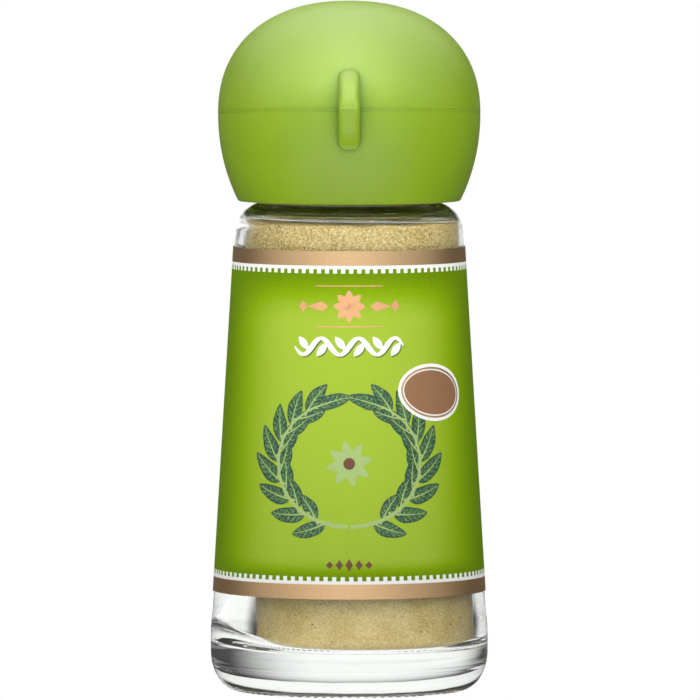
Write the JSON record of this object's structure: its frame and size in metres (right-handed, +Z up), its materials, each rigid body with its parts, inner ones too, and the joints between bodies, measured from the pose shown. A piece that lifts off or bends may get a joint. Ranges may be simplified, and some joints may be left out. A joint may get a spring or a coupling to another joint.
{
  "type": "flip-top spice shaker jar",
  "caption": "Tapered glass spice jar of ground sage with a wrap-round label and a domed screw cap, whose flip-up lid covers a sifter.",
  "frame": {"origin": "the jar's axis, on the surface that the jar stands on", "axes": "+Z up along the jar's axis, -Y towards the front, where the thumb tab is, +X to the right as seen from the front"},
  "size_m": [0.0426, 0.0437, 0.106],
  "materials": {
    "glass": "clear moulded glass",
    "ground_sage": "dry, finely rubbed herb",
    "label": "printed, satin",
    "seal": "soft foam liner",
    "cap": "moulded, satin gloss",
    "lid": "moulded, satin gloss"
  },
  "bodies": {
    "bottle": {"jar": "glass", "label": "label", "ground_sage": "ground_sage"},
    "seal": {"seal_ring": "seal"},
    "cap": {"cap_base": "cap", "hinge_web": "cap"},
    "lid": {"lid": "lid"}
  },
  "joints": [
    {"name": "cap_lift", "type": "slide", "parent": "bottle", "child": "seal", "axis": [0, 0, 1], "range_m": [0, 0.004]},
    {"name": "cap_turn", "type": "hinge", "parent": "seal", "child": "cap", "pos_m": [0, 0, 0.0804], "axis": [0, 0, 1], "range_deg": [0, 450]},
    {"name": "lid_hinge", "type": "hinge", "parent": "cap", "child": "lid", "pos_m": [0, 0.01985, 0.08821], "axis": [-1, 0, 0], "range_deg": [0, 120], "deforming": ["hinge_web"]}
  ],
  "couplings": [
    {"joint": "cap_lift", "follows": "cap_turn", "m_per_rad": 0.00050929}
  ]
}
